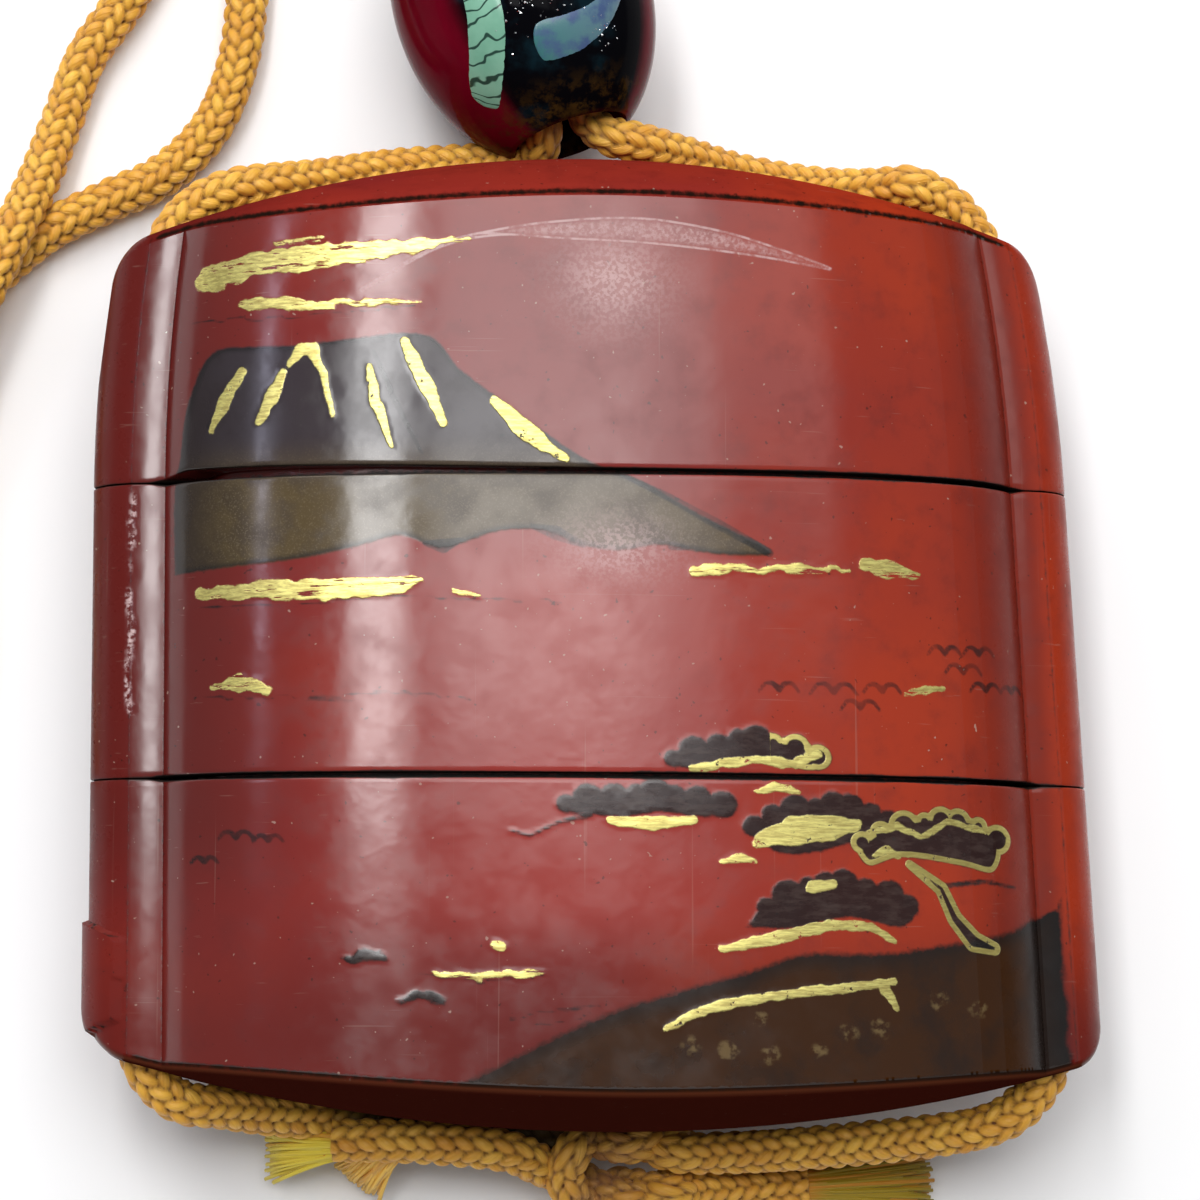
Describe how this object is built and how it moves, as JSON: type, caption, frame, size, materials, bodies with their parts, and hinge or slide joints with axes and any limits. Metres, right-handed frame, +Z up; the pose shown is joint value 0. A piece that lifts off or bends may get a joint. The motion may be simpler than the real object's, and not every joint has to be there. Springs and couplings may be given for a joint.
{
  "type": "inro case",
  "caption": "Flattened oval lacquered case of stacked tiers on a braided silk cord, with a glass sliding bead and a knotted end; lies on its back, tiers lift apart.",
  "frame": {"origin": "on the table under the middle of the case, at the flat spot of its back", "axes": "+Z up out of the painted front, +Y along the case towards the lid, +X to the right of the painted front"},
  "size_m": [0.0815, 0.0958, 0.0206],
  "materials": {
    "lacquer": "worn glossy red-brown lacquer over thin wood, painted with gold, black and grey",
    "silk_cord": "round braid of old gold silk, soft sheen, soiled at the holes",
    "bead_glass": "polished lampwork glass, crimson over a dark core, with pale green and silvery inlay"
  },
  "bodies": {
    "root": {"lid": "lacquer", "upper_case": "lacquer", "lower_case": "lacquer", "ojime_bead": "bead_glass", "cord_knot": "silk_cord", "cord_left_upper": "silk_cord", "cord_left_inner": "silk_cord", "cord_left_lower": "silk_cord", "cord_left_tail": "silk_cord", "cord_right_upper": "silk_cord", "cord_right_inner": "silk_cord", "cord_right_lower": "silk_cord", "cord_right_tail": "silk_cord", "cord_loop": "silk_cord"}
  },
  "joints": []
}
